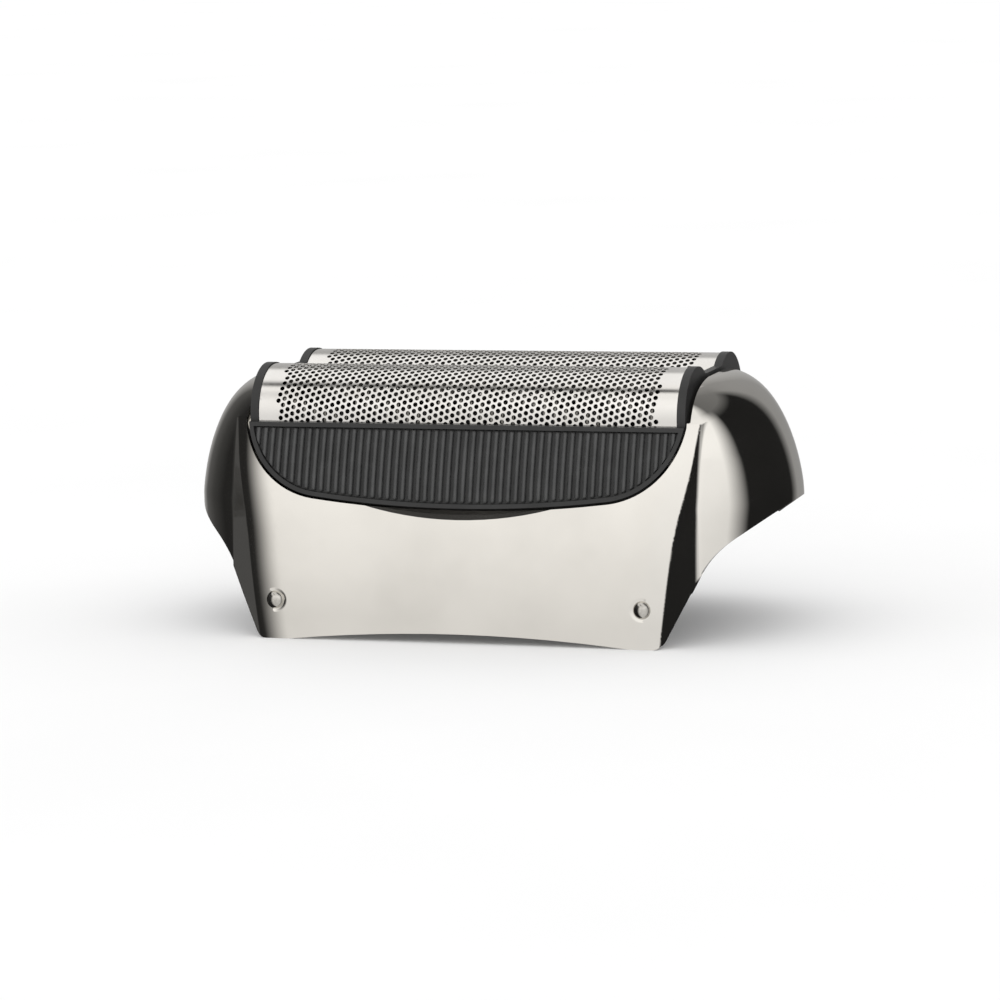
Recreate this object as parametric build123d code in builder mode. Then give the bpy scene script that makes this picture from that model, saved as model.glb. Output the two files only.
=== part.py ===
"""Twin-foil shaver head: a plated winged shell, a lift-out foil cassette and two sprung inner cutters.

Millimetres. +X runs along the foils, -Y is the front, +Z is up. The origin is on the surface that the
shell stands on, midway between its ends and its faces.
"""

import os
from math import cos, radians, sin

from build123d import *

# Plated shell
wall = 0.8
foot_half_width = 19.75
foot_flat = 3.0
foot_corner_radius = 1.2
hem_rise = 0.9
rear_hem = 9.3
knee_x, knee_z = 24.0, 8.5
knee_radius = 8.0
tip_half_span = 29.6
tip_z = 12.3
wing_top = 24.3
wing_centre_x = 19.5
wing_step = 1.15
wing_flush_z = 19.0
wing_least_step = 0.1
panel_half_depth = 14.85
panel_lean = 3.95
panel_top = 20.6
panel_half_width = 23.0
foot_edge_x = 19.54
top_edge_x = 22.1
flare_tangent = 1.5
least_flank = 0.4
panel_edge_radius = 0.5
opening_half_length = 21.9
opening_half_depth = 10.75
opening_bottom = 10.1
thumb_bevel_half_width = 12.6
thumb_bevel_drop = 1.05
thumb_bevel_end = 0.25

# Rivets and latch spring of the shell
rivet_x, rivet_z = 18.09, 3.69
rivet_head_radius = 0.85
rivet_head_height = 0.6
rivet_shank_radius = 0.55
rivet_tail_radius = 0.7
rivet_tail_height = 0.4
dimple_radius = 1.2
dimple_depth = 0.1
latch_thickness = 0.3
latch_half_height = 1.4
latch_end_margin = 1.2
latch_seat_gap = 0.02
latch_bow_half_length = 7.0
latch_bow = 1.1

# Foils
foil_pitch = 11.8
foil_top = 25.2
foil_radius = 4.6
foil_thickness = 0.12
foil_leg_bottom = 16.4
perforation_radius = 0.225
perforation_columns = 19
perforation_column_step = 2.0
perforation_row_angle = 24.0
perforation_rows = 5

# Foil frame
frame_half_length = 21.5
cheek_thickness = 0.8
cheek_margin = 0.1
saddle_drop = 0.9
end_wall = 1.2
skirt_bottom = 10.4
skirt_wall = 1.2
rail_top = 17.9
centre_rail_half_width = 2.1
foil_slit_clearance = 0.03
grip_half_width = 21.5
grip_top = 20.2
grip_bottom = 12.6
grip_shoulder_x, grip_shoulder_z = 14.5, 13.5
grip_clearance = 0.25
grip_wall = 1.2
grip_web = 1.0
grip_border = 0.4
rib_pitch = 0.745
rib_width = 0.28
rib_relief = 0.4
rib_sink = 0.08
rib_count = 56
rib_end_gap = 0.15

# Cutters
stroke = 1.2
slot_gap = 0.25
running_gap = 0.13
blade_count = 36
blade_pitch = 1.04
blade_thickness = 0.2
blade_foot = 19.1
carrier_bottom = 15.9
carrier_top = 20.5
carrier_half_width = 3.05
carrier_end_margin = 0.5

# Drive shoes, springs and retainer
retainer_bottom = 10.7
retainer_thickness = 1.2
retainer_fit = 0.15
slide_gap = 0.1
shoe_thickness = 1.2
shoe_half_length = 11.0
shoe_half_width = 2.9
boss_radius = 2.4
boss_bottom = 8.4
drive_bore_radius = 1.25
drive_bore_length = 3.5
peg_x = 8.0
peg_radius = 0.75
peg_clearance = 0.05
peg_top = 18.2
peg_hole_top = 19.3
spring_radius = 1.2
wire_radius = 0.17
spring_turns = 5.5
spring_end_gap = 0.02
pocket_radius = 1.65
pocket_depth = 1.0
snap_x = 14.0
snap_length = 4.0
snap_height = 0.8
snap_reach = 0.45
snap_clearance = 0.2

# Places worked out from the sizes above
reach = 2 * tip_half_span
edge_inset = (1 + flare_tangent**2) ** 0.5 - flare_tangent
panel_bow_radius = (panel_lean**2 + panel_top**2) / (2 * panel_lean)
foil_y = -foil_pitch / 2
foil_centre_z = foil_top - foil_radius
foil_half_length = frame_half_length - cheek_thickness - foil_slit_clearance
skirt_half_depth = foil_pitch / 2 + foil_radius - foil_thickness - foil_slit_clearance
grip_back = foil_pitch / 2 + foil_radius + foil_slit_clearance
slit_bottom = foil_leg_bottom - foil_slit_clearance
window_half_length = frame_half_length - end_wall
window_half_depth = skirt_half_depth - skirt_wall
blade_radius = foil_radius - foil_thickness - running_gap
retainer_top = retainer_bottom + retainer_thickness
shoe_bottom = retainer_top + slide_gap
shoe_top = shoe_bottom + shoe_thickness
pocket_top = carrier_bottom + pocket_depth
hands = {"left": -1, "right": 1}

os.makedirs("parts", exist_ok=True)


def write(part, name):
    """Label one finished piece and write its file."""
    part.label = name
    export_step(part, f"parts/{name}.step")


# Outer form of the shell: two leaning aprons crossed by a winged body


def panel_depth(height):
    """Distance of the panel's outer face from the middle plane at a height."""
    return panel_half_depth - panel_bow_radius + (panel_bow_radius**2 - height**2) ** 0.5


def apron_form(inset):
    """Front and rear panels as one block: leaning in, wider at the top, with flared side walls."""
    with BuildPart() as block:
        for share in (0.0, 0.2, 0.4, 0.6, 0.8, 1.0):
            height = share * panel_top
            edge = foot_edge_x + share * (top_edge_x - foot_edge_x) - inset * edge_inset
            depth = panel_depth(height) - inset
            flank = max(panel_half_width - inset, edge + least_flank)
            with BuildSketch(Plane.XY.offset(height)) as section:
                with BuildLine():
                    side_depth = depth - (flank - edge) / flare_tangent
                    Polyline(
                        (-edge, -depth),
                        (edge, -depth),
                        (flank, -side_depth),
                        (flank, side_depth),
                        (edge, depth),
                        (-edge, depth),
                        (-flank, side_depth),
                        (-flank, -side_depth),
                        close=True,
                    )
                make_face()
                edges_of_panels = section.vertices().filter_by(lambda v: abs(abs(v.Y) - depth) < 0.01)
                fillet(edges_of_panels, panel_edge_radius)
        loft()
    return block.part


def wing_form(inset):
    """The winged body: an oval column below the tips, closing over the shoulders like a fender."""
    top = wing_top - inset
    with BuildPart() as body:
        for share in (0.0, 0.14, 0.28, 0.42, 0.56, 0.69, 0.8, 0.88, 0.94, 0.98):
            height = tip_z + share * (top - tip_z)
            step = max(wing_step * (1 - height / wing_flush_z), wing_least_step)
            depth = panel_depth(height) - step
            half_span = (tip_half_span - wing_centre_x - inset) * (1 - share**1.6) ** (1 / 3)
            half_depth = (depth - inset) * (1 - share**10) ** (1 / 3)
            with BuildSketch(Plane.XY.offset(height)):
                with BuildLine():
                    Line((-wing_centre_x, -half_depth), (wing_centre_x, -half_depth))
                    EllipticalCenterArc((wing_centre_x, 0), half_span, half_depth, start_angle=-90, arc_size=180)
                    Line((wing_centre_x, half_depth), (-wing_centre_x, half_depth))
                    EllipticalCenterArc((-wing_centre_x, 0), half_span, half_depth, start_angle=90, arc_size=180)
                make_face()
        loft()
        extrude(body.faces().sort_by(Axis.Z)[0], amount=tip_z)
    return body.part


def grip_outline(margin, top):
    """Half-lens outline of a grip pad in the XZ plane, carried up to a height and grown by a margin."""
    with BuildSketch(Plane.XZ) as outline:
        with BuildLine():
            sole = ThreePointArc(
                (-grip_shoulder_x, grip_shoulder_z), (0, grip_bottom), (grip_shoulder_x, grip_shoulder_z)
            )
            TangentArc((grip_shoulder_x, grip_shoulder_z), (grip_half_width, grip_top), tangent=sole % 1)
            TangentArc((-grip_shoulder_x, grip_shoulder_z), (-grip_half_width, grip_top), tangent=-(sole % 0))
            Line((grip_half_width, grip_top), (-grip_half_width, grip_top))
        make_face()
        if top > grip_top:
            with Locations((0, (top + grip_top) / 2)):
                Rectangle(2 * grip_half_width, top - grip_top)
        if margin:
            offset(amount=margin, kind=Kind.INTERSECTION)
    return outline.sketch


def trim_outline():
    """Front outline that the shell is trimmed to: hem, feet, knees and wing tips."""
    slope = (tip_z - knee_z) / (tip_half_span - knee_x)
    far_z = tip_z + slope * tip_half_span
    far_x = 2 * tip_half_span
    foot_start = foot_half_width - foot_flat
    with BuildSketch(Plane.XZ) as outline:
        with BuildLine():
            ThreePointArc((-foot_start, 0), (0, hem_rise), (foot_start, 0))
            for hand in hands.values():
                FilletPolyline(
                    (hand * foot_start, 0),
                    (hand * foot_half_width, 0),
                    (hand * knee_x, knee_z),
                    (hand * far_x, far_z),
                    radius=[foot_corner_radius, knee_radius],
                )
            Polyline((far_x, far_z), (far_x, reach), (-far_x, reach), (-far_x, far_z))
        make_face()
    return outline.sketch


def turned(part):
    """The same piece on the rear side."""
    return part.rotate(Axis.Z, 180)


def arch(half_width, bottom, start_x, end_x):
    """Solid tunnel under one front foil: straight legs below a half round, between two ends."""
    with BuildPart() as tunnel:
        with BuildSketch(Plane.YZ.offset(start_x)):
            with BuildLine():
                ThreePointArc(
                    (foil_y - half_width, foil_centre_z),
                    (foil_y, foil_centre_z + half_width),
                    (foil_y + half_width, foil_centre_z),
                )
                Polyline(
                    (foil_y + half_width, foil_centre_z),
                    (foil_y + half_width, bottom),
                    (foil_y - half_width, bottom),
                    (foil_y - half_width, foil_centre_z),
                )
            make_face()
        extrude(amount=end_x - start_x)
    return tunnel.part


# Shell: winged body and aprons, hollowed, trimmed at the hem and opened for the cassette

apron = apron_form(0)

with BuildPart() as thumb_bevel:
    bevel_plane = Plane(
        (0, -panel_depth(grip_bottom - thumb_bevel_drop), 0), x_dir=(-1, 0, 0), z_dir=(0, 1, 0)
    )
    with BuildSketch(bevel_plane):
        with BuildLine():
            bevel_end_z = grip_shoulder_z - thumb_bevel_end
            ThreePointArc(
                (-thumb_bevel_half_width, bevel_end_z),
                (0, grip_bottom - thumb_bevel_drop),
                (thumb_bevel_half_width, bevel_end_z),
            )
            Polyline(
                (thumb_bevel_half_width, bevel_end_z),
                (thumb_bevel_half_width, grip_top),
                (-thumb_bevel_half_width, grip_top),
                (-thumb_bevel_half_width, bevel_end_z),
            )
        make_face()
    extrude(amount=thumb_bevel_drop, taper=45)

rivet_lean = rivet_z / panel_bow_radius
rivet_plane = Plane(
    (0, -panel_depth(rivet_z), rivet_z), x_dir=(1, 0, 0), z_dir=(0, -((1 - rivet_lean**2) ** 0.5), rivet_lean)
)

with BuildPart() as rivet_seats:
    with Locations(rivet_plane):
        with Locations((-rivet_x, 0), (rivet_x, 0)):
            Cylinder(rivet_shank_radius, 4 * wall)
            with Locations((0, 0, -dimple_depth)):
                Cone(
                    rivet_head_radius,
                    2 * dimple_radius - rivet_head_radius,
                    2 * dimple_depth,
                    align=(Align.CENTER, Align.CENTER, Align.MIN),
                )

with BuildPart() as head_shell:
    add(apron)
    add(wing_form(0))
    add(apron_form(wall), mode=Mode.SUBTRACT)
    add(wing_form(wall), mode=Mode.SUBTRACT)
    extrude(trim_outline(), amount=reach, both=True, mode=Mode.INTERSECT)
    with BuildSketch(Plane.XY.offset(opening_bottom)):
        Rectangle(2 * opening_half_length, 2 * opening_half_depth)
    extrude(amount=reach, mode=Mode.SUBTRACT)
    extrude(grip_outline(grip_clearance, wing_top), amount=reach, both=True, mode=Mode.SUBTRACT)
    with BuildSketch(Plane.XY.offset(rear_hem)):
        with Locations((0, reach / 2)):
            Rectangle(2 * reach, reach)
    extrude(amount=-reach, mode=Mode.SUBTRACT)
    add(thumb_bevel.part, mode=Mode.SUBTRACT)
    add(turned(thumb_bevel.part), mode=Mode.SUBTRACT)
    add(rivet_seats.part, mode=Mode.SUBTRACT)

write(head_shell.part, "head_shell")

# Rivets: domed heads outside, short tails over the latch spring inside

with BuildPart() as rivet:
    tail_start = -wall - latch_seat_gap - latch_thickness
    with BuildSketch(Plane.XZ):
        with BuildLine():
            Polyline(
                (0, rivet_head_height - dimple_depth),
                (0, tail_start - rivet_tail_height),
                (rivet_tail_radius, tail_start - rivet_tail_height),
                (rivet_tail_radius, tail_start),
                (rivet_shank_radius, tail_start),
                (rivet_shank_radius, -dimple_depth),
                (rivet_head_radius, -dimple_depth),
            )
            dome_radius = (rivet_head_radius**2 + rivet_head_height**2) / (2 * rivet_head_height)
            RadiusArc((rivet_head_radius, -dimple_depth), (0, rivet_head_height - dimple_depth), -dome_radius)
        make_face()
    revolve(axis=Axis.Z)

with BuildPart() as shell_rivets:
    with Locations(rivet_plane):
        with Locations((-rivet_x, 0), (rivet_x, 0)):
            add(rivet.part)

write(shell_rivets.part, "shell_rivets")

# Latch spring: a flat steel strip behind the front panel, bowed inwards to grip the neck of the handle

latch_plane = Plane(
    (0, wall - panel_depth(rivet_z), rivet_z), x_dir=(1, 0, 0), z_dir=(0, rivet_lean, (1 - rivet_lean**2) ** 0.5)
)

with BuildPart() as latch:
    with BuildSketch(latch_plane):
        with BuildLine():
            near = latch_seat_gap
            far = latch_seat_gap + latch_thickness
            tip = rivet_x + latch_end_margin
            Polyline((-latch_bow_half_length, near), (-tip, near), (-tip, far), (-latch_bow_half_length, far))
            ThreePointArc((-latch_bow_half_length, far), (0, far + latch_bow), (latch_bow_half_length, far))
            Polyline((latch_bow_half_length, far), (tip, far), (tip, near), (latch_bow_half_length, near))
            ThreePointArc((latch_bow_half_length, near), (0, near + latch_bow), (-latch_bow_half_length, near))
        make_face()
    extrude(amount=latch_half_height, both=True)
    add(head_shell.part, mode=Mode.SUBTRACT)
    add(shell_rivets.part, mode=Mode.SUBTRACT)

write(latch.part, "latch_spring")

# Foil frame: skirt, centre rail, end cheeks and the two ribbed grip pads

with BuildPart() as grip_pad:
    add(apron)
    extrude(grip_outline(0, grip_top), amount=reach, mode=Mode.INTERSECT)
    with BuildSketch(Plane.XY.offset(slit_bottom)):
        Rectangle(2 * reach, 2 * grip_back)
    extrude(amount=reach, mode=Mode.SUBTRACT)
    with BuildSketch(Plane.XY.offset(slit_bottom)):
        Rectangle(2 * reach, 2 * skirt_half_depth)
    extrude(amount=-reach, mode=Mode.SUBTRACT)

with BuildPart() as grip_hollow:
    add(apron_form(grip_wall))
    with BuildSketch(Plane.XY.offset(slit_bottom - grip_web)):
        Rectangle(2 * reach, 2 * reach)
    extrude(amount=reach, mode=Mode.SUBTRACT)
    with BuildSketch(Plane.XY):
        Rectangle(2 * reach, 2 * skirt_half_depth)
    extrude(amount=reach, mode=Mode.SUBTRACT)

with BuildPart() as rib_field:
    add(apron)
    extrude(grip_outline(-grip_border, grip_top), amount=reach, mode=Mode.INTERSECT)
    add(apron_form(rib_relief), mode=Mode.SUBTRACT)

with BuildPart() as ribs:
    add(apron_form(rib_sink))
    extrude(grip_outline(-grip_border - rib_end_gap, grip_top), amount=reach, mode=Mode.INTERSECT)
    with BuildSketch(Plane.XZ):
        with Locations((0, grip_top)):
            with GridLocations(rib_pitch, 0, rib_count, 1):
                Rectangle(rib_width, reach)
    extrude(amount=reach, mode=Mode.INTERSECT)
    add(apron_form(2 * rib_relief), mode=Mode.SUBTRACT)

with BuildPart() as ribbed_pad:
    add(grip_pad.part)
    add(grip_hollow.part, mode=Mode.SUBTRACT)
    add(rib_field.part, mode=Mode.SUBTRACT)
    add(ribs.part)

with BuildPart() as end_cheeks:
    for start_x in (-frame_half_length, frame_half_length - cheek_thickness):
        cheek_arch = arch(foil_radius + cheek_margin, rail_top, start_x, start_x + cheek_thickness)
        add(cheek_arch)
        add(mirror(cheek_arch, Plane.XZ, mode=Mode.PRIVATE))
        with BuildSketch(Plane.YZ.offset(start_x)):
            with Locations((0, (rail_top + foil_top - saddle_drop) / 2)):
                Rectangle(foil_pitch, foil_top - saddle_drop - rail_top)
        extrude(amount=cheek_thickness)

with BuildPart() as foil_frame:
    with BuildSketch(Plane.XY.offset(skirt_bottom)):
        Rectangle(2 * frame_half_length, 2 * skirt_half_depth)
        Rectangle(2 * window_half_length, 2 * window_half_depth, mode=Mode.SUBTRACT)
    extrude(amount=rail_top - skirt_bottom)
    with BuildSketch(Plane.XY.offset(shoe_bottom)):
        Rectangle(2 * frame_half_length, 2 * centre_rail_half_width)
    extrude(amount=rail_top - shoe_bottom)
    with BuildSketch(Plane.XY.offset(slit_bottom)):
        for side in (-1, 1):
            with Locations((0, side * (foil_pitch / 2 - foil_radius + foil_thickness / 2))):
                Rectangle(2 * (foil_half_length + foil_slit_clearance), foil_thickness + 2 * foil_slit_clearance)
    extrude(amount=reach, mode=Mode.SUBTRACT)
    add(end_cheeks.part)
    add(ribbed_pad.part)
    add(turned(ribbed_pad.part))
    with BuildSketch(Plane.XY.offset(retainer_bottom + retainer_thickness / 2 - snap_height / 2 - snap_clearance)):
        for hand in hands.values():
            with Locations((hand * snap_x, 0)):
                Rectangle(snap_length + 2 * snap_clearance, 2 * skirt_half_depth)
    extrude(amount=snap_height + 2 * snap_clearance, mode=Mode.SUBTRACT)

write(foil_frame.part, "foil_frame")

# Foils: thin arched sheets whose legs stand in the slits of the frame

with BuildPart() as foil:
    add(arch(foil_radius, foil_leg_bottom, -foil_half_length, foil_half_length))
    add(arch(foil_radius - foil_thickness, 0, -reach, reach), mode=Mode.SUBTRACT)
    for row in range(perforation_rows):
        tilt = radians((row - (perforation_rows - 1) / 2) * perforation_row_angle)
        lead = (row % 2) * perforation_column_step / 2
        row_plane = Plane((0, foil_y, foil_centre_z), x_dir=(1, 0, 0), z_dir=(0, sin(tilt), cos(tilt)))
        with Locations(row_plane):
            with Locations((lead, 0, foil_radius)):
                with GridLocations(perforation_column_step, 0, perforation_columns - row % 2, 1):
                    Cylinder(perforation_radius, 4 * foil_thickness, mode=Mode.SUBTRACT)

write(foil.part, "front_foil")
write(turned(foil.part), "rear_foil")

# Cutter blades: a row of thin hoops that straddle the carrier bar

with BuildPart() as blade:
    add(arch(blade_radius, blade_foot, -blade_thickness / 2, blade_thickness / 2))
    add(arch(carrier_half_width, 0, -reach, reach), mode=Mode.SUBTRACT)

with BuildPart() as blades:
    with GridLocations(blade_pitch, 0, blade_count, 1):
        add(blade.part)

write(blades.part, "front_cutter_blades")
write(turned(blades.part), "rear_cutter_blades")

# Cutter carriers: bars with a spring pocket and a guide hole over each peg

carrier_half_length = (blade_count - 1) * blade_pitch / 2 + blade_thickness / 2 + carrier_end_margin

with BuildPart() as carrier:
    with BuildSketch(Plane.XY.offset(carrier_bottom)):
        with Locations((0, foil_y)):
            Rectangle(2 * carrier_half_length, 2 * carrier_half_width)
    extrude(amount=carrier_top - carrier_bottom)
    with BuildSketch(Plane.XY.offset(carrier_bottom)):
        with Locations((-peg_x, foil_y), (peg_x, foil_y)):
            Circle(pocket_radius)
    extrude(amount=pocket_depth, mode=Mode.SUBTRACT)
    with BuildSketch(Plane.XY.offset(carrier_bottom)):
        with Locations((-peg_x, foil_y), (peg_x, foil_y)):
            Circle(peg_radius + peg_clearance)
    extrude(amount=peg_hole_top - carrier_bottom, mode=Mode.SUBTRACT)

write(carrier.part, "front_cutter_carrier")
write(turned(carrier.part), "rear_cutter_carrier")

# Drive shoes: plates with two guide pegs above and a bored drive boss below

with BuildPart() as shoe:
    with BuildSketch(Plane.XY.offset(shoe_bottom)):
        with Locations((0, foil_y)):
            RectangleRounded(2 * shoe_half_length, 2 * shoe_half_width, shoe_half_width / 2)
    extrude(amount=shoe_thickness)
    with BuildSketch(Plane.XY.offset(shoe_top)):
        with Locations((-peg_x, foil_y), (peg_x, foil_y)):
            Circle(peg_radius)
    extrude(amount=peg_top - shoe_top)
    with BuildSketch(Plane.XY.offset(boss_bottom)):
        with Locations((0, foil_y)):
            Circle(boss_radius)
    extrude(amount=shoe_bottom - boss_bottom)
    with BuildSketch(Plane.XY.offset(boss_bottom)):
        with Locations((0, foil_y)):
            Circle(drive_bore_radius)
    extrude(amount=drive_bore_length, mode=Mode.SUBTRACT)

write(shoe.part, "front_drive_shoe")
write(turned(shoe.part), "rear_drive_shoe")

# Springs: one coil round each guide peg, from the shoe up into the carrier's pocket

with BuildPart() as spring:
    coil_height = pocket_top - shoe_top - 2 * wire_radius - 2 * spring_end_gap
    with BuildLine():
        coil = Helix(coil_height / spring_turns, coil_height, spring_radius)
    with BuildSketch(Plane(coil @ 0, z_dir=coil % 0)):
        Circle(wire_radius)
    sweep(is_frenet=True)

spring_z = shoe_top + wire_radius + spring_end_gap

for side_name, spring_y in (("front", foil_y), ("rear", -foil_y)):
    for hand_name, hand in hands.items():
        with BuildPart() as placed_spring:
            with Locations((hand * peg_x, spring_y, spring_z)):
                add(spring.part)
        write(placed_spring.part, f"{side_name}_spring_{hand_name}")

# Retainer: floor of the cassette, snapped into the skirt, slotted for the drive bosses

with BuildPart() as cutter_retainer:
    with BuildSketch(Plane.XY.offset(retainer_bottom)):
        Rectangle(2 * (window_half_length - retainer_fit), 2 * (window_half_depth - retainer_fit))
        with Locations((0, foil_y), (0, -foil_y)):
            slot_width = 2 * (boss_radius + slot_gap)
            SlotOverall(slot_width + 2 * stroke, slot_width, mode=Mode.SUBTRACT)
    extrude(amount=retainer_thickness)
    with BuildSketch(Plane.XY.offset(retainer_bottom + retainer_thickness / 2 - snap_height / 2)):
        for hand in hands.values():
            for side in (-1, 1):
                with Locations((hand * snap_x, side * window_half_depth)):
                    Rectangle(snap_length, 2 * snap_reach)
    extrude(amount=snap_height)

write(cutter_retainer.part, "cutter_retainer")
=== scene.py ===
import math

import bmesh
import bpy
from mathutils import Matrix, Vector


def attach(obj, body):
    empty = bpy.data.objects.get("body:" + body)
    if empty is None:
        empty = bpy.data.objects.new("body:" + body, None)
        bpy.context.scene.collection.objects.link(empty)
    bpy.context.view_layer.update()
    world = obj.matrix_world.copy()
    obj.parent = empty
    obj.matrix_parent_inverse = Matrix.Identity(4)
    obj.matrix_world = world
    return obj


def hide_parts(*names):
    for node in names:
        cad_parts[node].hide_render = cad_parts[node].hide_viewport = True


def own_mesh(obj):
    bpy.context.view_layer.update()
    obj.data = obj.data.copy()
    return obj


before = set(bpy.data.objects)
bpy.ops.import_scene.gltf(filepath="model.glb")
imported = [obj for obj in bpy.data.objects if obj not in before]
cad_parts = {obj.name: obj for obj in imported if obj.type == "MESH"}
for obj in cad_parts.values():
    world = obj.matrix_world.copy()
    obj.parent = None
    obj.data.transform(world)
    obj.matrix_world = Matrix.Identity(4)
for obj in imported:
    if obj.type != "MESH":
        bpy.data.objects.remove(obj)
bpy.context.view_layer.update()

# Shell: the winged housing that clips onto the handle, pressed from thin metal and nickel plated
# to a mirror. It is one piece, with a leaning panel at the front and at the rear, a fender-like
# wing at each end and an opening that the foil cassette drops into.


def linear(code):
    """A colour given as sRGB hex, as the linear RGBA that shaders take."""
    parts = [int(code[place:place + 2], 16) / 255 for place in (1, 3, 5)]
    return [c / 12.92 if c <= 0.04045 else ((c + 0.055) / 1.055) ** 2.4 for c in parts] + [1.0]


def node(tree, kind, inputs=None, stops=(), **settings):
    """Adds a node with its settings, its inputs and, on a colour ramp, its (place, colour) stops.
    An input takes a value, a socket, or another node for that node's first output."""
    made = tree.nodes.new(kind)
    for name, value in settings.items():
        setattr(made, name, value)
    for key, value in (inputs or {}).items():
        source = value.outputs[0] if isinstance(value, bpy.types.Node) else value
        if isinstance(source, bpy.types.NodeSocket):
            tree.links.new(source, made.inputs[key])
        else:
            made.inputs[key].default_value = source
    if stops:
        elements = made.color_ramp.elements
        while len(elements) < len(stops):
            elements.new(0.5)
        for element, (place, colour) in zip(elements, stops):
            element.position = place
            element.color = colour
    return made


def surface(name, low, high, patch_mm, stretch=(1, 1, 1), rub=(), **values):
    """A material whose colour drifts between two hex colours over patches of a real size in mm.
    Where it is rubbed, its roughness drifts with the colour, from a smooth value to a rough one."""
    made = bpy.data.materials.new(name)
    made.use_nodes = True
    tree = made.node_tree
    shader = tree.nodes["Principled BSDF"]
    place = node(tree, "ShaderNodeTexCoord")
    spread = node(tree, "ShaderNodeMapping", {"Vector": place.outputs["Object"], "Scale": stretch})
    drift = node(
        tree, "ShaderNodeTexNoise", {"Vector": spread, "Scale": 1000 / patch_mm, "Detail": 3.0}
    ).outputs["Fac"]
    start, end = 0.3, 0.7
    ends = [(start, linear(low)), (end, linear(high))]
    tint = node(tree, "ShaderNodeValToRGB", {"Fac": drift}, stops=ends)
    tree.links.new(tint.outputs["Color"], shader.inputs["Base Color"])
    if rub:
        wear = node(
            tree,
            "ShaderNodeMapRange",
            {"Value": drift, "From Min": start, "From Max": end, "To Min": rub[0], "To Max": rub[1]},
        )
        tree.links.new(wear.outputs["Result"], shader.inputs["Roughness"])
    for key, value in values.items():
        shader.inputs[key.replace("_", " ")].default_value = value
    return made


# The press smooths every change of direction, so the mirror turns softly where the solid has small
# steps. The sizes below, in mm, are the ones that shape the outer skin.
panel_half_depth = 14.85
panel_bow_radius = 55.69
panel_top = 20.6
panel_half_width = 23.0
foot_edge_x = 19.54
top_edge_x = 22.1
edge_swell = 0.6
corner_reach = 3.2
corner_turn = math.radians(14)
strip_angle = math.radians(57)
wing_centre_x = 19.5
wing_half_span = 10.1
tip_z = 12.3
wing_top = 24.3
wing_step = 1.15
wing_flush_z = 19.0
bevel_half_width = 13
bevel_bottom = 10.5
bevel_top = 14
bevel_direction = Vector((0, 0.766, 0.643))


def soft_step(value, start, end):
    """0 before start, 1 after end, and a smooth rise between them."""
    share = min(max((value - start) / (end - start), 0.0), 1.0)
    return share * share * (3 - 2 * share)


def wing_size(height):
    """Half span and half depth of the winged body at a height."""
    share = min(max((height - tip_z) / (wing_top - tip_z), 0.0), 0.985)
    depth = panel_half_depth - panel_bow_radius + math.sqrt(panel_bow_radius**2 - height**2)
    step = max(wing_step * (1 - height / wing_flush_z), 0.1)
    return wing_half_span * (1 - share**1.6) ** (1 / 3), (depth - step) * (1 - share**10) ** (1 / 3)


def panel_edge(height):
    """Where the panel ends and its side strip begins, from the middle plane."""
    share = min(max(height / panel_top, 0.0), 1.0)
    return foot_edge_x + (top_edge_x - foot_edge_x) * share + edge_swell * soft_step(share, 0.45, 0.85)


def skin_direction(point):
    """Where the polished outer skin faces at a point in mm: panel, side strip, valley or wing."""
    side = 1.0 if point.x > 0 else -1.0
    front = 1.0 if point.y > 0 else -1.0
    out = abs(point.x)
    height = min(max(point.z, 0.0), wing_top - 0.2)
    lean = height / math.sqrt(panel_bow_radius**2 - height**2)
    edge = panel_edge(height)
    turn = corner_turn * soft_step(out, edge - corner_reach, edge)
    turn += (strip_angle - turn) * soft_step(out, edge - 0.1, edge + 0.25)
    block = Vector((math.sin(turn), math.cos(turn), lean)).normalized()
    rise = 0.02
    span, depth = wing_size(height)
    span_up, depth_up = wing_size(height + rise)
    span_slope = (span_up - span) / rise
    depth_slope = (depth_up - depth) / rise
    across = max(out - wing_centre_x, 0.0)
    along = abs(point.y)
    wing = Vector((
        across / span**2,
        along / depth**2,
        -(across**2) * span_slope / span**3 - along**2 * depth_slope / depth**3,
    ))
    wing.normalize()
    on_wing = soft_step(out, panel_half_width - 0.35, panel_half_width + 0.5)
    if height > panel_top:
        on_wing = 1.0
    chosen = block.lerp(wing, on_wing).normalized()
    return Vector((side * chosen.x, front * chosen.y, chosen.z))


# Warm mirror: sharp reflections with a faint unevenness of the polish.
bright_nickel_plating = surface(
    "bright nickel plating", "#E4E1DB", "#EFECE6", 9.0, rub=(0.035, 0.06), Metallic=1.0
)

# The mesh is made finer step by step, most of all round the side strips: longest edge, then the
# band from the middle plane that the step covers, in metres.
fining_steps = [
    (0.004, 0, 0.04), (0.002, 0, 0.04), (0.0012, 0, 0.04), (0.0009, 0, 0.04),
    (0.0006, 0.019, 0.0242), (0.0004, 0.0192, 0.024), (0.00028, 0.0194, 0.0238),
]
skin = bmesh.new()
skin.from_mesh(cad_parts["head_shell"].data)
bmesh.ops.remove_doubles(skin, verts=skin.verts, dist=0.000002)
for longest, inner, outer in fining_steps:
    long_edges = []
    for edge in skin.edges:
        middle_x = abs(edge.verts[0].co.x + edge.verts[1].co.x) / 2
        if inner <= middle_x <= outer and edge.calc_length() > longest:
            long_edges.append(edge)
    bmesh.ops.subdivide_edges(skin, edges=long_edges, cuts=1, use_single_edge=True)
    bmesh.ops.triangulate(skin, faces=skin.faces)
skin_mesh = bpy.data.meshes.new("plated_shell")
skin.to_mesh(skin_mesh)
skin.free()
skin_mesh.materials.append(bright_nickel_plating)
skin_mesh.shade_smooth()
skin_mesh.set_sharp_from_angle(angle=math.radians(32))

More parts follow.
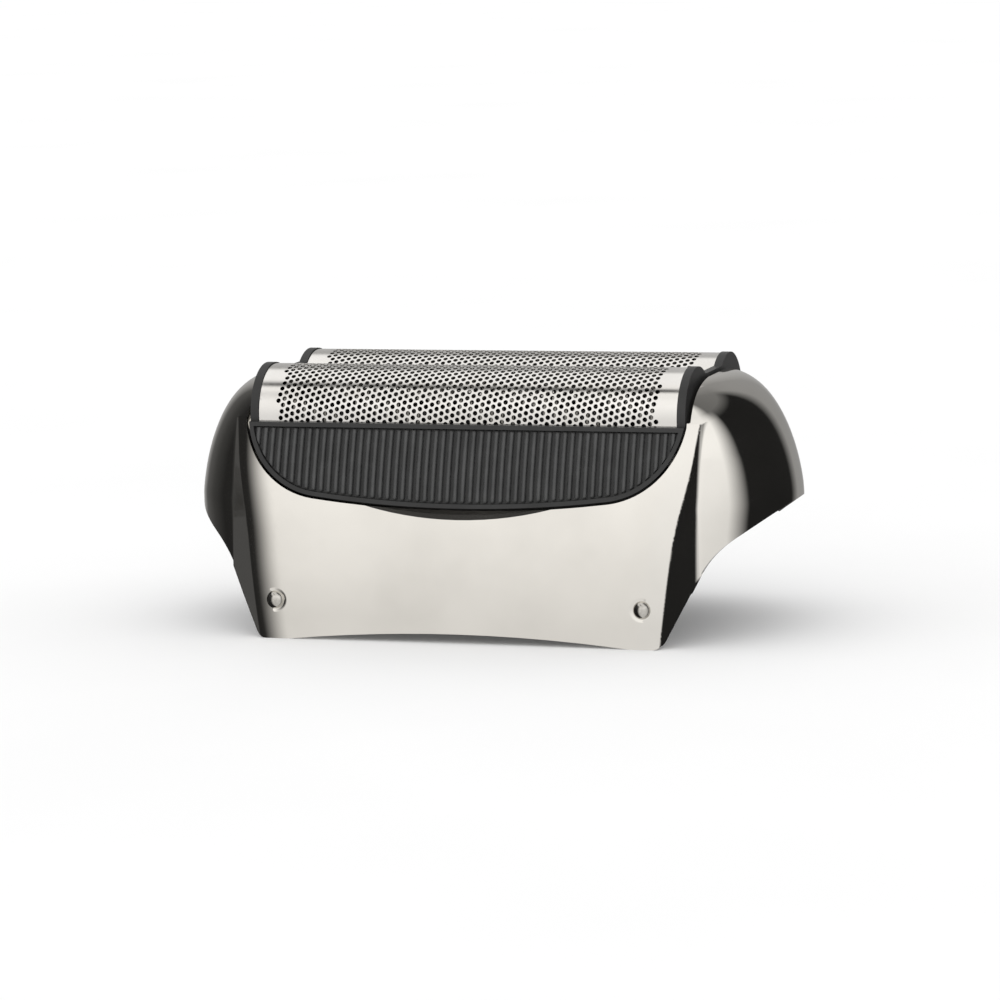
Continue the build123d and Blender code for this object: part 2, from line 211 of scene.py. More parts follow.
# Faces of the thumb bevel shine as one flat, faces of the skin take the soft direction, and the cut
# walls and the inside keep their own.
directions = [Vector(corner.vector) for corner in skin_mesh.corner_normals]
for face in skin_mesh.polygons:
    middle = face.center * 1000
    front = 1.0 if middle.y > 0 else -1.0
    bevel = Vector((0, front * bevel_direction.y, bevel_direction.z))
    by_bevel = abs(middle.x) < bevel_half_width and bevel_bottom < middle.z < bevel_top
    if by_bevel and bevel.angle(face.normal) < math.radians(16):
        for corner in face.loop_indices:
            directions[corner] = bevel
        continue
    for corner in face.loop_indices:
        if directions[corner].angle(face.normal) > math.radians(20):
            directions[corner] = face.normal.copy()
    plain_panel = abs(middle.x) < panel_edge(middle.z) - 1.6 and middle.z < panel_top
    widest = math.radians(14) if plain_panel else math.radians(58)
    ledge = abs(middle.z - panel_top) < 0.05 and face.normal.z > 0.8 and abs(middle.x) > 21
    if ledge or skin_direction(middle).angle(face.normal) < widest:
        for corner in face.loop_indices:
            spot = skin_mesh.vertices[skin_mesh.loops[corner].vertex_index].co * 1000
            if ledge:
                spot.z = panel_top + 0.05
            directions[corner] = skin_direction(spot)
skin_mesh.normals_split_custom_set(directions)
plated_shell = bpy.data.objects.new("plated_shell", skin_mesh)
bpy.context.scene.collection.objects.link(plated_shell)
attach(plated_shell, "shell")
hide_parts("head_shell")

# Rivets: two small domed heads low on the front panel, cold headed from steel and polished by
# tumbling. Each sits in a shallow dish and holds one end of the latch spring behind the panel.


def dress(piece, made):
    """Gives a CAD node its material in place of the one it came with."""
    piece.data.materials.clear()
    piece.data.materials.append(made)


# A softer, greyer shine than the plating, with darker tumbling marks.
tumbled_rivet_steel = surface(
    "tumbled rivet steel", "#B9B6B0", "#D8D5CF", 0.6, rub=(0.12, 0.22), Metallic=1.0
)
dress(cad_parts["shell_rivets"], tumbled_rivet_steel)

# Latch spring: a strip of spring steel bowed towards the handle's neck, punched and bent, held
# behind the front panel by the two rivets.

# Grey strip with the fine lengthwise lines of rolling.
rolled_spring_steel = surface(
    "rolled spring steel", "#8B8985", "#A5A39E", 0.5, stretch=(0.05, 1, 1), rub=(0.25, 0.36), Metallic=1.0
)
dress(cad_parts["latch_spring"], rolled_spring_steel)

# Foil frame: the cassette's black body, injection moulded in one piece with its end cheeks, its
# skirt and the two grip pads that a finger and thumb squeeze to lift the cassette out.

# Satin black with the faint grain of a spark-eroded mould, about a sixth of a millimetre across.
grained_black_plastic = surface("grained black plastic", "#232323", "#2C2C2C", 3.0, Roughness=0.4)
grain_mm = 1 / 6
black_tree = grained_black_plastic.node_tree
black_place = node(black_tree, "ShaderNodeTexCoord")
grain = node(
    black_tree,
    "ShaderNodeTexNoise",
    {"Vector": black_place.outputs["Object"], "Scale": 1000 / grain_mm, "Detail": 2.0},
)
grain_relief = node(
    black_tree,
    "ShaderNodeBump",
    {"Height": grain.outputs["Fac"], "Strength": 0.12, "Distance": 0.00002},
)
black_tree.links.new(grain_relief.outputs["Normal"], black_tree.nodes["Principled BSDF"].inputs["Normal"])
dress(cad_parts["foil_frame"], grained_black_plastic)

# Ribs of the grip pads: upright rounded ribs moulded with the foil frame, side by side across
# each pad, so that wet fingers don't slip. They follow the pad's half-lens outline and its bow.
input_kinds = [
    (int, "NodeSocketInt"),
    (float, "NodeSocketFloat"),
    (tuple, "NodeSocketVector"),
    (bpy.types.Object, "NodeSocketObject"),
    (bpy.types.Material, "NodeSocketMaterial"),
]


def sized_tree(name, sizes):
    """A geometry tree with a named input for each size, shape and material, and those inputs."""
    made = bpy.data.node_groups.new(name, "GeometryNodeTree")
    made.interface.new_socket(name="Geometry", in_out="OUTPUT", socket_type="NodeSocketGeometry")
    for size, value in sizes.items():
        kind = next(kind for form, kind in input_kinds if isinstance(value, form))
        made.interface.new_socket(name=size, in_out="INPUT", socket_type=kind)
    return made, node(made, "NodeGroupInput").outputs


def plain_mesh(name, tree, sizes):
    """Runs a geometry tree with the given sizes and keeps what it makes as one plain mesh object."""
    carrier = bpy.data.objects.new(name + " carrier", bpy.data.meshes.new(name + " carrier"))
    bpy.context.scene.collection.objects.link(carrier)
    modifier = carrier.modifiers.new("tree", "NODES")
    modifier.node_group = tree
    sockets = {item.name: item for item in tree.interface.items_tree if item.in_out == "INPUT"}
    for size, value in sizes.items():
        modifier[sockets[size].identifier] = value
    carrier.update_tag()
    bpy.context.view_layer.update()
    result = bpy.data.meshes.new_from_object(carrier.evaluated_get(bpy.context.evaluated_depsgraph_get()))
    result.name = name
    bpy.data.objects.remove(carrier)
    piece = bpy.data.objects.new(name, result)
    bpy.context.scene.collection.objects.link(piece)
    return piece


def pattern_shape(name, vertices, faces):
    """A small mesh for a geometry tree to repeat. It is never put in the scene itself."""
    mesh = bpy.data.meshes.new(name)
    mesh.from_pydata(vertices, [], faces)
    mesh.update()
    return bpy.data.objects.new(name, mesh)


# One rib, in mm: its section, as the depth under the panel's skin, runs from the pad's field over
# a round crest. Its rings are shares of its height, and sink into the field at both ends.
field_depth = 0.42
rib_section = [
    (-0.22, -field_depth), (-0.21, -0.2), (-0.18, -0.11), (-0.13, -0.06), (-0.07, -0.03), (0.0, -0.02),
    (0.07, -0.03), (0.13, -0.06), (0.18, -0.11), (0.21, -0.2), (0.22, -field_depth),
]
rib_rings = [(0.0, 0.0), (0.012, 0.75), (0.035, 1.0)]
rib_rings += [(0.1 * step, 1.0) for step in range(1, 10)]
rib_rings += [(0.965, 1.0), (0.988, 0.75), (1.0, 0.0)]
rib_vertices = []
for share, crown in rib_rings:
    for across, depth in rib_section:
        rib_vertices.append((across, crown * (depth + field_depth) - field_depth, share))
rib_faces = []
for ring in range(len(rib_rings) - 1):
    for point in range(len(rib_section) - 1):
        corner = ring * len(rib_section) + point
        above = corner + len(rib_section)
        rib_faces.append((corner, corner + 1, above + 1, above))

# The same plastic, coloured lighter as a painted highlight on the ribs, and mostly smoother.
highlit_rib_plastic = surface("black rib plastic with painted highlight", "#3C3C3C", "#484848", 1.5, rub=(0.3, 0.42))

rib_sizes = {
    "Rib": pattern_shape("rib", rib_vertices, rib_faces),
    "Count": 56,
    "Pitch": 0.745,
    "Top": 19.72,
    "Panel Bow Radius": panel_bow_radius,
    "Panel Half Depth": panel_half_depth,
    "Flat Arc Radius": 116.78,
    "Flat Arc Centre Z": 129.86,
    "Shoulder Radius": 7.64,
    "Shoulder Centre X": 13.497,
    "Shoulder Centre Z": 21.555,
    "Shoulder Start X": 14.4,
    "Turn": 0.0,
    # The ribs take the lighter plastic, whose colour is a painted highlight.
    "Material": highlit_rib_plastic,
}
to_metres = (0.001, 0.001, 0.001)
rib_tree, rib_in = sized_tree("ribs of a grip pad", rib_sizes)
steps_between = node(rib_tree, "ShaderNodeMath", {0: rib_in["Count"], 1: 1.0}, operation="SUBTRACT")
half_pitch_back = node(rib_tree, "ShaderNodeMath", {0: rib_in["Pitch"], 1: -0.5}, operation="MULTIPLY")
first_x = node(rib_tree, "ShaderNodeMath", {0: steps_between, 1: half_pitch_back}, operation="MULTIPLY")
rib_line = node(
    rib_tree,
    "GeometryNodeMeshLine",
    {
        "Count": rib_in["Count"],
        "Start Location": node(rib_tree, "ShaderNodeCombineXYZ", {"X": first_x}),
        "Offset": node(rib_tree, "ShaderNodeCombineXYZ", {"X": rib_in["Pitch"]}),
    },
)
rib_shape = node(rib_tree, "GeometryNodeObjectInfo", {"Object": rib_in["Rib"]}).outputs["Geometry"]
rib_copies = node(rib_tree, "GeometryNodeInstanceOnPoints", {"Points": rib_line, "Instance": rib_shape})
rib_meshes = node(rib_tree, "GeometryNodeRealizeInstances", {"Geometry": rib_copies})
rib_spot = node(rib_tree, "ShaderNodeSeparateXYZ", {0: node(rib_tree, "GeometryNodeInputPosition")}).outputs
# The foot of a rib follows the pad's outline, drawn in by the plain border: a long flat arc below
# and a tight arc at each shoulder.
reach = node(rib_tree, "ShaderNodeMath", {0: rib_spot["X"]}, operation="ABSOLUTE")
past_shoulder = node(
    rib_tree, "ShaderNodeMath", {0: reach, 1: rib_in["Shoulder Centre X"]}, operation="SUBTRACT"
)
arcs = []
for arc_reach, arc in ((reach, "Flat Arc"), (past_shoulder, "Shoulder")):
    radius_squared = node(rib_tree, "ShaderNodeMath", {0: rib_in[arc + " Radius"], 1: 2.0}, operation="POWER")
    reach_squared = node(rib_tree, "ShaderNodeMath", {0: arc_reach, 1: 2.0}, operation="POWER")
    fall_squared = node(
        rib_tree, "ShaderNodeMath", {0: radius_squared, 1: reach_squared}, operation="SUBTRACT"
    )
    fall = node(rib_tree, "ShaderNodeMath", {0: fall_squared}, operation="SQRT")
    centre_z = rib_in[arc + " Centre Z"]
    arcs.append(node(rib_tree, "ShaderNodeMath", {0: centre_z, 1: fall}, operation="SUBTRACT"))
flat_arc, shoulder_arc = arcs
on_shoulder = node(
    rib_tree, "ShaderNodeMath", {0: reach, 1: rib_in["Shoulder Start X"]}, operation="GREATER_THAN"
)
arc_gap = node(rib_tree, "ShaderNodeMath", {0: shoulder_arc, 1: flat_arc}, operation="SUBTRACT")
foot = node(
    rib_tree, "ShaderNodeMath", {0: on_shoulder, 1: arc_gap, 2: flat_arc}, operation="MULTIPLY_ADD"
)
rib_height = node(rib_tree, "ShaderNodeMath", {0: rib_in["Top"], 1: foot}, operation="SUBTRACT")
rib_z = node(
    rib_tree, "ShaderNodeMath", {0: rib_spot["Z"], 1: rib_height, 2: foot}, operation="MULTIPLY_ADD"
)
# Y follows the panel's bow, with the rib's own depth under the skin added.
bow_squared = node(rib_tree, "ShaderNodeMath", {0: rib_in["Panel Bow Radius"], 1: 2.0}, operation="POWER")
z_squared = node(rib_tree, "ShaderNodeMath", {0: rib_z, 1: 2.0}, operation="POWER")
bow_left = node(rib_tree, "ShaderNodeMath", {0: bow_squared, 1: z_squared}, operation="SUBTRACT")
bow = node(rib_tree, "ShaderNodeMath", {0: bow_left}, operation="SQRT")
bow_centre = node(
    rib_tree,
    "ShaderNodeMath",
    {0: rib_in["Panel Half Depth"], 1: rib_in["Panel Bow Radius"]},
    operation="SUBTRACT",
)
skin_depth = node(rib_tree, "ShaderNodeMath", {0: bow_centre, 1: bow}, operation="ADD")
rib_depth = node(rib_tree, "ShaderNodeMath", {0: skin_depth, 1: rib_spot["Y"]}, operation="ADD")
rib_y = node(rib_tree, "ShaderNodeMath", {0: rib_depth, 1: -1.0}, operation="MULTIPLY")
rib_bent = node(rib_tree, "ShaderNodeCombineXYZ", {"X": rib_spot["X"], "Y": rib_y, "Z": rib_z})
rib_set = node(rib_tree, "GeometryNodeSetPosition", {"Geometry": rib_meshes, "Position": rib_bent})
rib_smooth = node(rib_tree, "GeometryNodeSetShadeSmooth", {0: rib_set})
rib_turn = node(rib_tree, "ShaderNodeCombineXYZ", {"Z": rib_in["Turn"]})
rib_sized = node(
    rib_tree,
    "GeometryNodeTransform",
    {"Geometry": rib_smooth, "Rotation": rib_turn, "Scale": to_metres},
)
rib_real = node(rib_tree, "GeometryNodeRealizeInstances", {"Geometry": rib_sized})
rib_painted = node(
    rib_tree, "GeometryNodeSetMaterial", {"Geometry": rib_real, "Material": rib_in["Material"]}
)
node(rib_tree, "NodeGroupOutput", {0: rib_painted})

for side, turn in (("front", 0.0), ("rear", math.pi)):
    ribs = plain_mesh(side + "_grip_ribs", rib_tree, rib_sizes | {"Turn": turn})
    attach(ribs, "cassette")

# Foils: two arched sheets of bright electroformed steel a tenth of a millimetre thick. Round holes
# in a slanted hexagonal pattern let the hairs in; the ends stay blank, and the legs are pinched
# in slits of the foil frame.
hole_pitch = 0.63
hole_radius = 0.228
foil_thickness = 0.11
foil_centre_y = 5.9

# The sheet is laid with hexagonal cells, with a hole or without, that share their rims.
rim_points = 12
cell_angles = [math.radians(30 * step) for step in range(rim_points)]
cell_rim = []
for step, angle in enumerate(cell_angles):
    radius = hole_pitch / math.sqrt(3) if step % 2 == 0 else hole_pitch / 2
    cell_rim.append((radius * math.cos(angle), radius * math.sin(angle), 0))
hole_rim = [(hole_radius * math.cos(angle), hole_radius * math.sin(angle), 0) for angle in cell_angles]
punched_faces = []
blank_faces = []
for step in range(rim_points):
    after = (step + 1) % rim_points
    punched_faces.append((step, after, after + rim_points, step + rim_points))
    blank_faces.append((step, after, rim_points))

# Bright steel with a soft sheen, a little duller in patches where it is worn.
electroformed_foil_steel = surface(
    "electroformed foil steel", "#EBE9E5", "#F6F4F1", 4.0, rub=(0.12, 0.18), Metallic=1.0
)

foil_sizes = {
    "Punched Cell": pattern_shape("punched cell", cell_rim + hole_rim, punched_faces),
    "Blank Cell": pattern_shape("blank cell", cell_rim + [(0, 0, 0)], blank_faces),
    "Columns": 87,
    "Rows": 55,
    "Hole Pitch": hole_pitch,
    "Slant": -0.175,
    "Half Length": 20.66,
    "Punched Half Length": 18.75,
    "Half Width": 11.4,
    "Punched Half Width": 8.3,
    "Arch Radius": 4.595,
    "Centre Y": -foil_centre_y,
    "Centre Z": 20.6,
    "Material": electroformed_foil_steel,
}
foil_tree, foil_in = sized_tree("perforated foil", foil_sizes)
column_step = node(
    foil_tree, "ShaderNodeMath", {0: foil_in["Hole Pitch"], 1: math.sqrt(3) / 2}, operation="MULTIPLY"
)
column_gaps = node(foil_tree, "ShaderNodeMath", {0: foil_in["Columns"], 1: 1.0}, operation="SUBTRACT")
row_gaps = node(foil_tree, "ShaderNodeMath", {0: foil_in["Rows"], 1: 1.0}, operation="SUBTRACT")
lattice = node(
    foil_tree,
    "GeometryNodeMeshGrid",
    {
        "Vertices X": foil_in["Columns"],
        "Vertices Y": foil_in["Rows"],
        "Size X": node(foil_tree, "ShaderNodeMath", {0: column_step, 1: column_gaps}, operation="MULTIPLY"),
        "Size Y": node(
            foil_tree, "ShaderNodeMath", {0: foil_in["Hole Pitch"], 1: row_gaps}, operation="MULTIPLY"
        ),
    },
)
lattice_spot = node(foil_tree, "ShaderNodeSeparateXYZ", {0: node(foil_tree, "GeometryNodeInputPosition")})
columns_out = node(
    foil_tree, "ShaderNodeMath", {0: lattice_spot.outputs["X"], 1: column_step}, operation="DIVIDE"
)
column = node(foil_tree, "ShaderNodeMath", {0: columns_out}, operation="ROUND")
column_count = node(foil_tree, "ShaderNodeMath", {0: column}, operation="ABSOLUTE")
odd_column = node(foil_tree, "ShaderNodeMath", {0: column_count, 1: 2.0}, operation="MODULO")
half_pitch = node(foil_tree, "ShaderNodeMath", {0: foil_in["Hole Pitch"], 1: 0.5}, operation="MULTIPLY")
shift = node(foil_tree, "ShaderNodeMath", {0: odd_column, 1: half_pitch}, operation="MULTIPLY")
stagger = node(foil_tree, "ShaderNodeCombineXYZ", {"Y": shift})
staggered = node(foil_tree, "GeometryNodeSetPosition", {"Geometry": lattice, "Offset": stagger})
slanted = node(
    foil_tree,
    "ShaderNodeVectorRotate",
    {
        "Vector": node(foil_tree, "GeometryNodeInputPosition"),
        "Axis": (0, 0, 1),
        "Angle": foil_in["Slant"],
    },
)
slanted_spot = node(foil_tree, "ShaderNodeSeparateXYZ", {0: slanted}).outputs
inside = []
for axis, limit in (("X", "Punched Half Length"), ("Y", "Punched Half Width")):
    distance = node(foil_tree, "ShaderNodeMath", {0: slanted_spot[axis]}, operation="ABSOLUTE")
    inside.append(node(foil_tree, "ShaderNodeMath", {0: distance, 1: foil_in[limit]}, operation="LESS_THAN"))
is_punched = node(foil_tree, "ShaderNodeMath", {0: inside[0], 1: inside[1]}, operation="MULTIPLY")
is_blank = node(foil_tree, "ShaderNodeMath", {0: 1.0, 1: is_punched}, operation="SUBTRACT")
cells = node(foil_tree, "GeometryNodeJoinGeometry")
for chosen, cell in ((is_punched, "Punched Cell"), (is_blank, "Blank Cell")):
    cell_shape = node(foil_tree, "GeometryNodeObjectInfo", {"Object": foil_in[cell]}).outputs["Geometry"]
    cell_copies = node(
        foil_tree,
        "GeometryNodeInstanceOnPoints",
        {"Points": staggered, "Selection": chosen, "Instance": cell_shape},
    )
    foil_tree.links.new(cell_copies.outputs[0], cells.inputs[0])
cell_meshes = node(foil_tree, "GeometryNodeRealizeInstances", {"Geometry": cells})
slant_turn = node(foil_tree, "ShaderNodeCombineXYZ", {"Z": foil_in["Slant"]})
slanted_sheet = node(foil_tree, "GeometryNodeTransform", {"Geometry": cell_meshes, "Rotation": slant_turn})
welded = node(foil_tree, "GeometryNodeMergeByDistance", {"Geometry": slanted_sheet, "Distance": 0.02})
# The sheet is cut to size: what lies past an edge is drawn back onto it, and the faces that
# are left lying on the edge go.
sheet_spot = node(
    foil_tree, "ShaderNodeSeparateXYZ", {0: node(foil_tree, "GeometryNodeInputPosition")}
).outputs
kept = {}
for axis, limit in (("X", "Half Length"), ("Y", "Half Width")):
    far_edge = node(foil_tree, "ShaderNodeMath", {0: foil_in[limit], 1: -1.0}, operation="MULTIPLY")
    below = node(foil_tree, "ShaderNodeMath", {0: sheet_spot[axis], 1: foil_in[limit]}, operation="MINIMUM")
    kept[axis] = node(foil_tree, "ShaderNodeMath", {0: below, 1: far_edge}, operation="MAXIMUM")
cut_spot = node(foil_tree, "ShaderNodeCombineXYZ", kept)
sheet = node(foil_tree, "GeometryNodeSetPosition", {"Geometry": welded, "Position": cut_spot})
for axis, limit in (("X", "Half Length"), ("Y", "Half Width")):
    edge = node(foil_tree, "ShaderNodeMath", {0: foil_in[limit], 1: 0.001}, operation="SUBTRACT")
    distance = node(foil_tree, "ShaderNodeMath", {0: sheet_spot[axis]}, operation="ABSOLUTE")
    beyond = node(foil_tree, "ShaderNodeMath", {0: distance, 1: edge}, operation="GREATER_THAN")
    whole_face = node(
        foil_tree, "GeometryNodeFieldOnDomain", {0: beyond}, domain="POINT", data_type="BOOLEAN"
    )
    sheet = node(
        foil_tree, "GeometryNodeDeleteGeometry", {"Geometry": sheet, "Selection": whole_face}, domain="FACE"
    )
trimmed = node(foil_tree, "GeometryNodeMergeByDistance", {"Geometry": sheet, "Distance": 0.004})
# The flat sheet is bent over the arch: a half round with a straight leg on each side.
quarter = math.pi / 2
arch_radius = foil_in["Arch Radius"]
turn_angle = node(foil_tree, "ShaderNodeMath", {0: sheet_spot["Y"], 1: arch_radius}, operation="DIVIDE")
turn_below = node(foil_tree, "ShaderNodeMath", {0: turn_angle, 1: quarter}, operation="MINIMUM")
arch_angle = node(foil_tree, "ShaderNodeMath", {0: turn_below, 1: -quarter}, operation="MAXIMUM")
turn_left = node(foil_tree, "ShaderNodeMath", {0: turn_angle, 1: arch_angle}, operation="SUBTRACT")
turn_past = node(foil_tree, "ShaderNodeMath", {0: turn_left}, operation="ABSOLUTE")
leg = node(foil_tree, "ShaderNodeMath", {0: turn_past, 1: arch_radius}, operation="MULTIPLY")
sine = node(foil_tree, "ShaderNodeMath", {0: arch_angle}, operation="SINE")
cosine = node(foil_tree, "ShaderNodeMath", {0: arch_angle}, operation="COSINE")
bent_y = node(
    foil_tree, "ShaderNodeMath", {0: arch_radius, 1: sine, 2: foil_in["Centre Y"]}, operation="MULTIPLY_ADD"
)
arch_z = node(
    foil_tree, "ShaderNodeMath", {0: arch_radius, 1: cosine, 2: foil_in["Centre Z"]}, operation="MULTIPLY_ADD"
)
bent_z = node(foil_tree, "ShaderNodeMath", {0: arch_z, 1: leg}, operation="SUBTRACT")
bent_spot = node(foil_tree, "ShaderNodeCombineXYZ", {"X": sheet_spot["X"], "Y": bent_y, "Z": bent_z})
bent = node(foil_tree, "GeometryNodeSetPosition", {"Geometry": trimmed, "Position": bent_spot})
foil_smooth = node(foil_tree, "GeometryNodeSetShadeSmooth", {0: bent})
foil_sized = node(foil_tree, "GeometryNodeTransform", {"Geometry": foil_smooth, "Scale": to_metres})
foil_real = node(foil_tree, "GeometryNodeRealizeInstances", {"Geometry": foil_sized})
foil_painted = node(
    foil_tree, "GeometryNodeSetMaterial", {"Geometry": foil_real, "Material": foil_in["Material"]}
)
node(foil_tree, "NodeGroupOutput", {0: foil_painted})

for side, centre_y in (("front", -foil_centre_y), ("rear", foil_centre_y)):
    foil = plain_mesh(side + "_foil_sheet", foil_tree, foil_sizes | {"Centre Y": centre_y})
    thickness = foil.modifiers.new("sheet thickness", "SOLIDIFY")
    thickness.thickness = foil_thickness / 1000
    thickness.offset = -1.0
    bpy.context.view_layer.update()
    solid = bpy.data.meshes.new_from_object(foil.evaluated_get(bpy.context.evaluated_depsgraph_get()))
    foil.modifiers.clear()
    foil.data = solid
    solid.set_sharp_from_angle(angle=math.radians(40))
    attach(foil, "cassette")
    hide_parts(side + "_foil")

# Cutter retainer: the cassette's floor, a black moulding snapped into the foil frame's skirt. The
# drive shoes slide in its two slots.
dress(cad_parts["cutter_retainer"], grained_black_plastic)

# Drive shoes: one under each cutter, moulded in slippery acetal, with a bored boss for the drive
# pin and two pegs that guide the cutter and its springs.

# Milky white, slightly glossy.
natural_acetal = surface(
    "natural acetal",
    "#DEDBD2",
    "#E9E6DE",
    2.0,
    Roughness=0.33,
    Subsurface_Weight=0.15,
    Subsurface_Scale=0.0005,
)
for side in ("front", "rear"):
    dress(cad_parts[side + "_drive_shoe"], natural_acetal)

# Springs: two small coils under each cutter, wound from spring wire. They stand on the shoe round
# its pegs and press the cutter up against the foil.

# Drawn wire: darker and greyer than the strip of the latch.
drawn_spring_wire = surface(
    "drawn spring wire", "#75736F", "#8F8D89", 0.4, rub=(0.28, 0.4), Metallic=1.0
)

coil_x = 8.0
coil_foot_z = 13.395
coil_sizes = {
    "Turns": 5.5,
    "Coil Radius": 1.2,
    "Wire Radius": 0.165,
    "Rise": 3.31,
    "First Place": (-coil_x, -foil_centre_y, coil_foot_z),
    "Step": (2 * coil_x, 0.0, 0.0),
    "Material": drawn_spring_wire,
}
coil_tree, coil_in = sized_tree("coil springs", coil_sizes)
spiral = node(
    coil_tree,
    "GeometryNodeCurveSpiral",
    {
        "Resolution": 24,
        "Rotations": coil_in["Turns"],
        "Start Radius": coil_in["Coil Radius"],
        "End Radius": coil_in["Coil Radius"],
        "Height": coil_in["Rise"],
    },
)
wire = node(
    coil_tree, "GeometryNodeCurvePrimitiveCircle", {"Resolution": 10, "Radius": coil_in["Wire Radius"]}
)
coil = node(
    coil_tree, "GeometryNodeCurveToMesh", {"Curve": spiral, "Profile Curve": wire, "Fill Caps": True}
)
coil_smooth = node(coil_tree, "GeometryNodeSetShadeSmooth", {0: coil})
coil_line = node(
    coil_tree,
    "GeometryNodeMeshLine",
    {"Count": 2, "Start Location": coil_in["First Place"], "Offset": coil_in["Step"]},
)
coil_pair = node(coil_tree, "GeometryNodeInstanceOnPoints", {"Points": coil_line, "Instance": coil_smooth})
coil_sized = node(coil_tree, "GeometryNodeTransform", {"Geometry": coil_pair, "Scale": to_metres})
coil_real = node(coil_tree, "GeometryNodeRealizeInstances", {"Geometry": coil_sized})
coil_painted = node(
    coil_tree, "GeometryNodeSetMaterial", {"Geometry": coil_real, "Material": coil_in["Material"]}
)
node(coil_tree, "NodeGroupOutput", {0: coil_painted})

for side, coil_y in (("front", -foil_centre_y), ("rear", foil_centre_y)):
    first_place = (-coil_x, coil_y, coil_foot_z)
    springs = plain_mesh(side + "_cutter_springs", coil_tree, coil_sizes | {"First Place": first_place})
    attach(springs, side + "_shoe")
    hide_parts(side + "_spring_left", side + "_spring_right")
    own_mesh(springs)

# Cutter carriers: the bars that hold the blades, moulded in dark grey glass-filled plastic. Each
# slides on the pegs of its drive shoe.

# Dull dark grey with the speckle of short glass fibres.
glass_filled_plastic = surface(
    "glass filled plastic", "#343436", "#434345", 0.35, stretch=(0.3, 1, 1), Roughness=0.52
)
for side in ("front", "rear"):
    dress(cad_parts[side + "_cutter_carrier"], glass_filled_plastic)

# Cutter blades: a row of thin steel half discs moulded into each carrier and ground together, so
# that their round edges sweep just under the foil.

# Pale steel with grinding lines that run along the row.
ground_blade_steel = surface(
    "ground blade steel", "#6F6D69", "#8D8B86", 0.3, stretch=(0.1, 1, 1), rub=(0.2, 0.34), Metallic=1.0
)
for side in ("front", "rear"):
    dress(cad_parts[side + "_cutter_blades"], ground_blade_steel)

# Studio: a white table under a white tent that has dark gaps to both sides, as for polished metal.
# The camera stands a little to the right and above, with a long lens, as in the photo.
floor_mesh = bpy.data.meshes.new("floor")
floor_mesh.from_pydata([(-4, -4, 0), (4, -4, 0), (4, 8, 0), (-4, 8, 0)], [], [(0, 1, 2, 3)])
floor = bpy.data.objects.new("floor", floor_mesh)
bpy.context.scene.collection.objects.link(floor)
# Matt white board.
white_board = surface(
    "matt white board", "#F4F4F4", "#F7F7F7", 60.0, Roughness=0.9, Specular_IOR_Level=0.0
)
floor_mesh.materials.append(white_board)
floor.visible_glossy = False


def cloth_stops(wall, whole):
    """Ramp stops for (degrees, brightness) pairs, in a neutral, a touch warm, as the cloth gives."""
    return [(place / whole + 0.5, (value, 0.992 * value, 0.98 * value, 1.0)) for place, value in wall]


# Places on the round walls are degrees from the front (-Y), positive to the right (+X); places on
# the seam's ring are degrees of rise.
low_wall = [
    (-180, 0.3), (-164, 0.5), (-146, 0.34), (-132, 0.1), (-112, 0.05), (-90, 0.02), (-48, 0.02),
    (-22, 0.8), (72, 0.8), (95, 0.015), (150, 0.015), (162, 0.3), (180, 0.3),
]
high_wall = [
    (-180, 0.3), (-164, 0.5), (-146, 0.34), (-132, 0.1), (-112, 0.05), (-90, 0.02), (-48, 0.02),
    (-22, 1.1), (72, 1.1), (95, 0.015), (150, 0.015), (162, 0.3), (180, 0.3),
]
upper_wall = [(-180, 0.95), (-10, 1.0), (60, 1.0), (84, 0.16), (150, 0.2), (180, 0.3)]
# A soft dark seam runs below the tent's top, at the front left.
seam_reach = [(-180, 0.0), (-92, 0.0), (-58, 1.0), (-34, 1.0), (0, 0.0), (180, 0.0)]
seam = [(-90, 1.0), (58.5, 1.0), (62.3, 0.04), (65.7, 0.04), (69.5, 1.0), (90, 1.0)]

world = bpy.data.worlds.new("white tent")
bpy.context.scene.world = world
world.use_nodes = True
tent = world.node_tree
tent.nodes.clear()
seen = node(tent, "ShaderNodeTexCoord")
way = node(tent, "ShaderNodeSeparateXYZ", {0: seen.outputs["Generated"]}).outputs
forward = node(tent, "ShaderNodeMath", {0: way["Y"], 1: -1.0}, operation="MULTIPLY")
round_angle = node(tent, "ShaderNodeMath", {0: way["X"], 1: forward}, operation="ARCTAN2")
rise_angle = node(tent, "ShaderNodeMath", {0: way["Z"]}, operation="ARCSINE")
round_share = node(
    tent, "ShaderNodeMapRange", {"Value": round_angle, "From Min": -math.pi, "From Max": math.pi}
)
rise_share = node(
    tent, "ShaderNodeMapRange", {"Value": rise_angle, "From Min": -math.pi / 2, "From Max": math.pi / 2}
)
low_ring, high_ring, upper_ring, seam_part = [
    node(tent, "ShaderNodeValToRGB", {"Fac": round_share}, stops=cloth_stops(wall, 360))
    for wall in (low_wall, high_wall, upper_wall, seam_reach)
]
seam_ring = node(tent, "ShaderNodeValToRGB", {"Fac": rise_share}, stops=cloth_stops(seam, 180))
low_to_high, high_to_upper = [
    node(
        tent,
        "ShaderNodeMapRange",
        {"Value": rise_angle, "From Min": math.radians(start), "From Max": math.radians(end)},
    )
    for start, end in ((-6, 28), (42, 52))
]
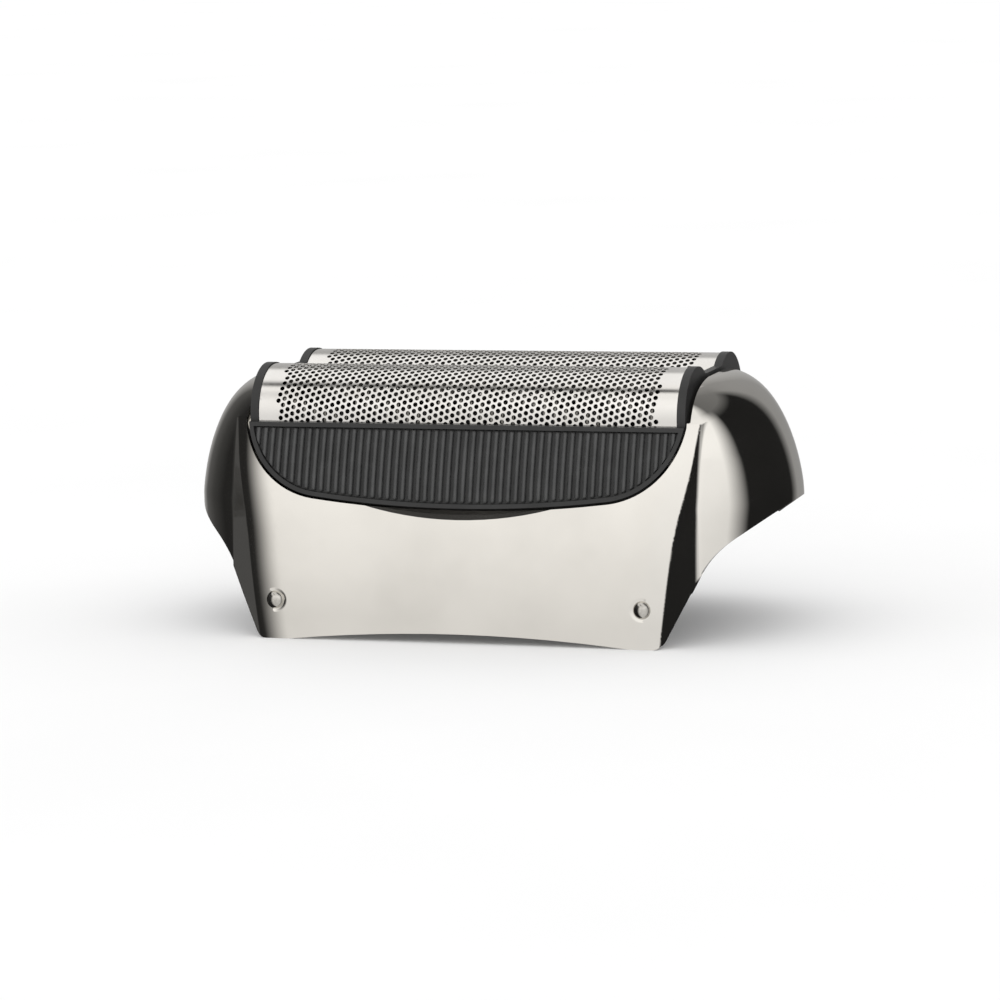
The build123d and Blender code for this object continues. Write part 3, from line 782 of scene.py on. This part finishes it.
# On a colour mix, inputs 6 and 7 are the two colours and output 2 is the result.
walls = node(
    tent, "ShaderNodeMix", {"Factor": low_to_high, 6: low_ring, 7: high_ring}, data_type="RGBA"
).outputs[2]
whole_tent = node(
    tent, "ShaderNodeMix", {"Factor": high_to_upper, 6: walls, 7: upper_ring}, data_type="RGBA"
).outputs[2]
tent_cloth = node(
    tent,
    "ShaderNodeMix",
    {"Factor": seam_part, 6: whole_tent, 7: seam_ring},
    data_type="RGBA",
    blend_type="MULTIPLY",
).outputs[2]
mirror_light = node(tent, "ShaderNodeBackground", {"Color": tent_cloth})
even_light = node(tent, "ShaderNodeBackground", {"Color": (1, 1, 1, 1), "Strength": 1.1})
white_view = node(tent, "ShaderNodeBackground", {"Color": (1, 1, 1, 1)})
path = node(tent, "ShaderNodeLightPath").outputs
sharp = node(
    tent, "ShaderNodeMath", {0: path["Is Glossy Ray"], 1: path["Is Transmission Ray"]}, operation="MAXIMUM"
)
for_looks = node(tent, "ShaderNodeMixShader", {0: sharp, 1: even_light, 2: mirror_light})
for_all = node(tent, "ShaderNodeMixShader", {0: path["Is Camera Ray"], 1: for_looks, 2: white_view})
node(tent, "ShaderNodeOutputWorld", {"Surface": for_all})

azimuth, elevation, roll = math.radians(18.11), math.radians(8.66), math.radians(-1.59)
camera_distance = 0.3935
looked_at = Vector((-0.00014, 0.0, 0.01137))
back = Vector((
    math.sin(azimuth) * math.cos(elevation),
    -math.cos(azimuth) * math.cos(elevation),
    math.sin(elevation),
))
level_right = Vector((math.cos(azimuth), math.sin(azimuth), 0))
level_up = back.cross(level_right)
right = level_right * math.cos(roll) + level_up * math.sin(roll)
up = level_up * math.cos(roll) - level_right * math.sin(roll)
camera_data = bpy.data.cameras.new("camera")
camera_data.lens = 146.47
camera_data.sensor_width = 36.0
camera_data.clip_start = 0.01
camera = bpy.data.objects.new("camera", camera_data)
camera_place = Matrix.Translation(looked_at + back * camera_distance)
camera.matrix_world = camera_place @ Matrix((right, up, back)).transposed().to_4x4()
bpy.context.scene.collection.objects.link(camera)
bpy.context.scene.camera = camera
bpy.context.scene.view_settings.view_transform = "Standard"
